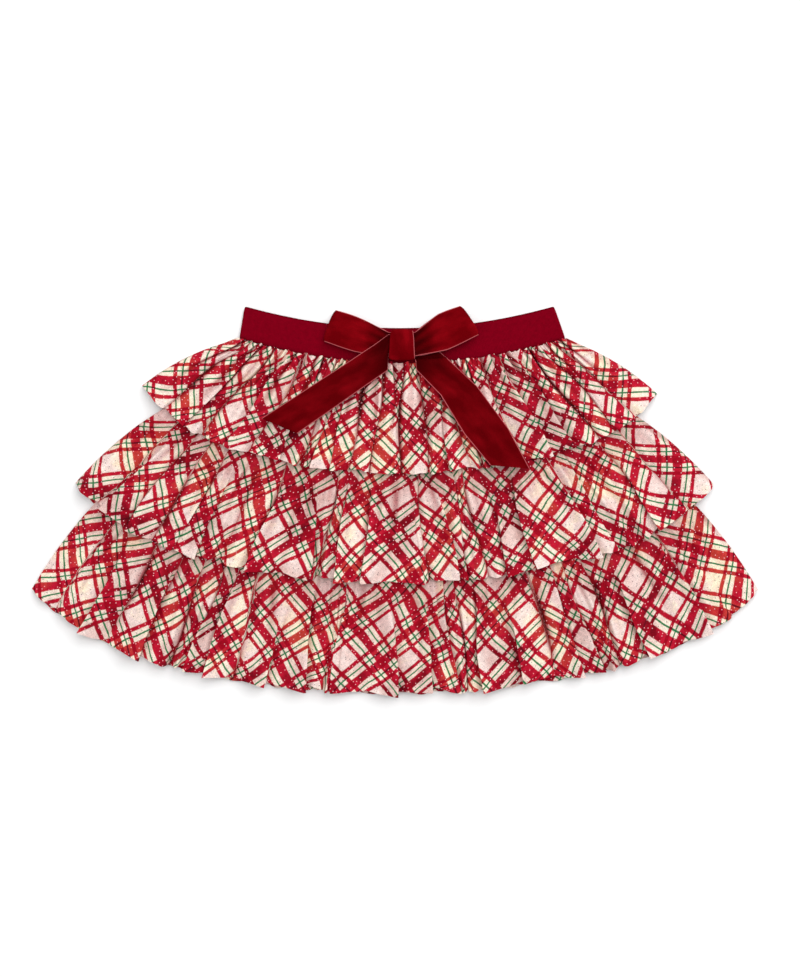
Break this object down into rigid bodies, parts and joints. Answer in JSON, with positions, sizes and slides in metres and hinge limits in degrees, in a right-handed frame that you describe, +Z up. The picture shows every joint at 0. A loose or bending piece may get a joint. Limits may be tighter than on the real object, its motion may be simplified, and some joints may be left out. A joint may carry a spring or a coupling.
{
  "type": "tiered ruffle skirt",
  "caption": "Small girl's pull-on skirt with stacked gathered ruffles, an elastic waistband and a velvet bow, laid flat.",
  "frame": {"origin": "middle of the skirt's box, on the surface that it lies on", "axes": "+X across the skirt, to the right as it lies; +Y from the hems to the waist; +Z up out of the surface"},
  "size_m": [0.4932, 0.265, 0.0174],
  "materials": {
    "waistband_elastic": "smooth covered elastic, satin-matte, dark crimson",
    "ruffle_cloth": "light mesh with a red, cream and green check on the bias and fine glitter dots",
    "velvet_ribbon": "deep red velvet ribbon with satin edges"
  },
  "bodies": {
    "root": {"waistband": "waistband_elastic", "tier_1_front": "ruffle_cloth", "tier_1_back": "ruffle_cloth", "tier_2_front": "ruffle_cloth", "tier_2_back": "ruffle_cloth", "tier_3_front": "ruffle_cloth", "tier_3_back": "ruffle_cloth", "bow_loop_left": "velvet_ribbon", "bow_loop_right": "velvet_ribbon", "bow_knot": "velvet_ribbon", "bow_tail_left": "velvet_ribbon", "bow_tail_right": "velvet_ribbon"}
  },
  "joints": []
}
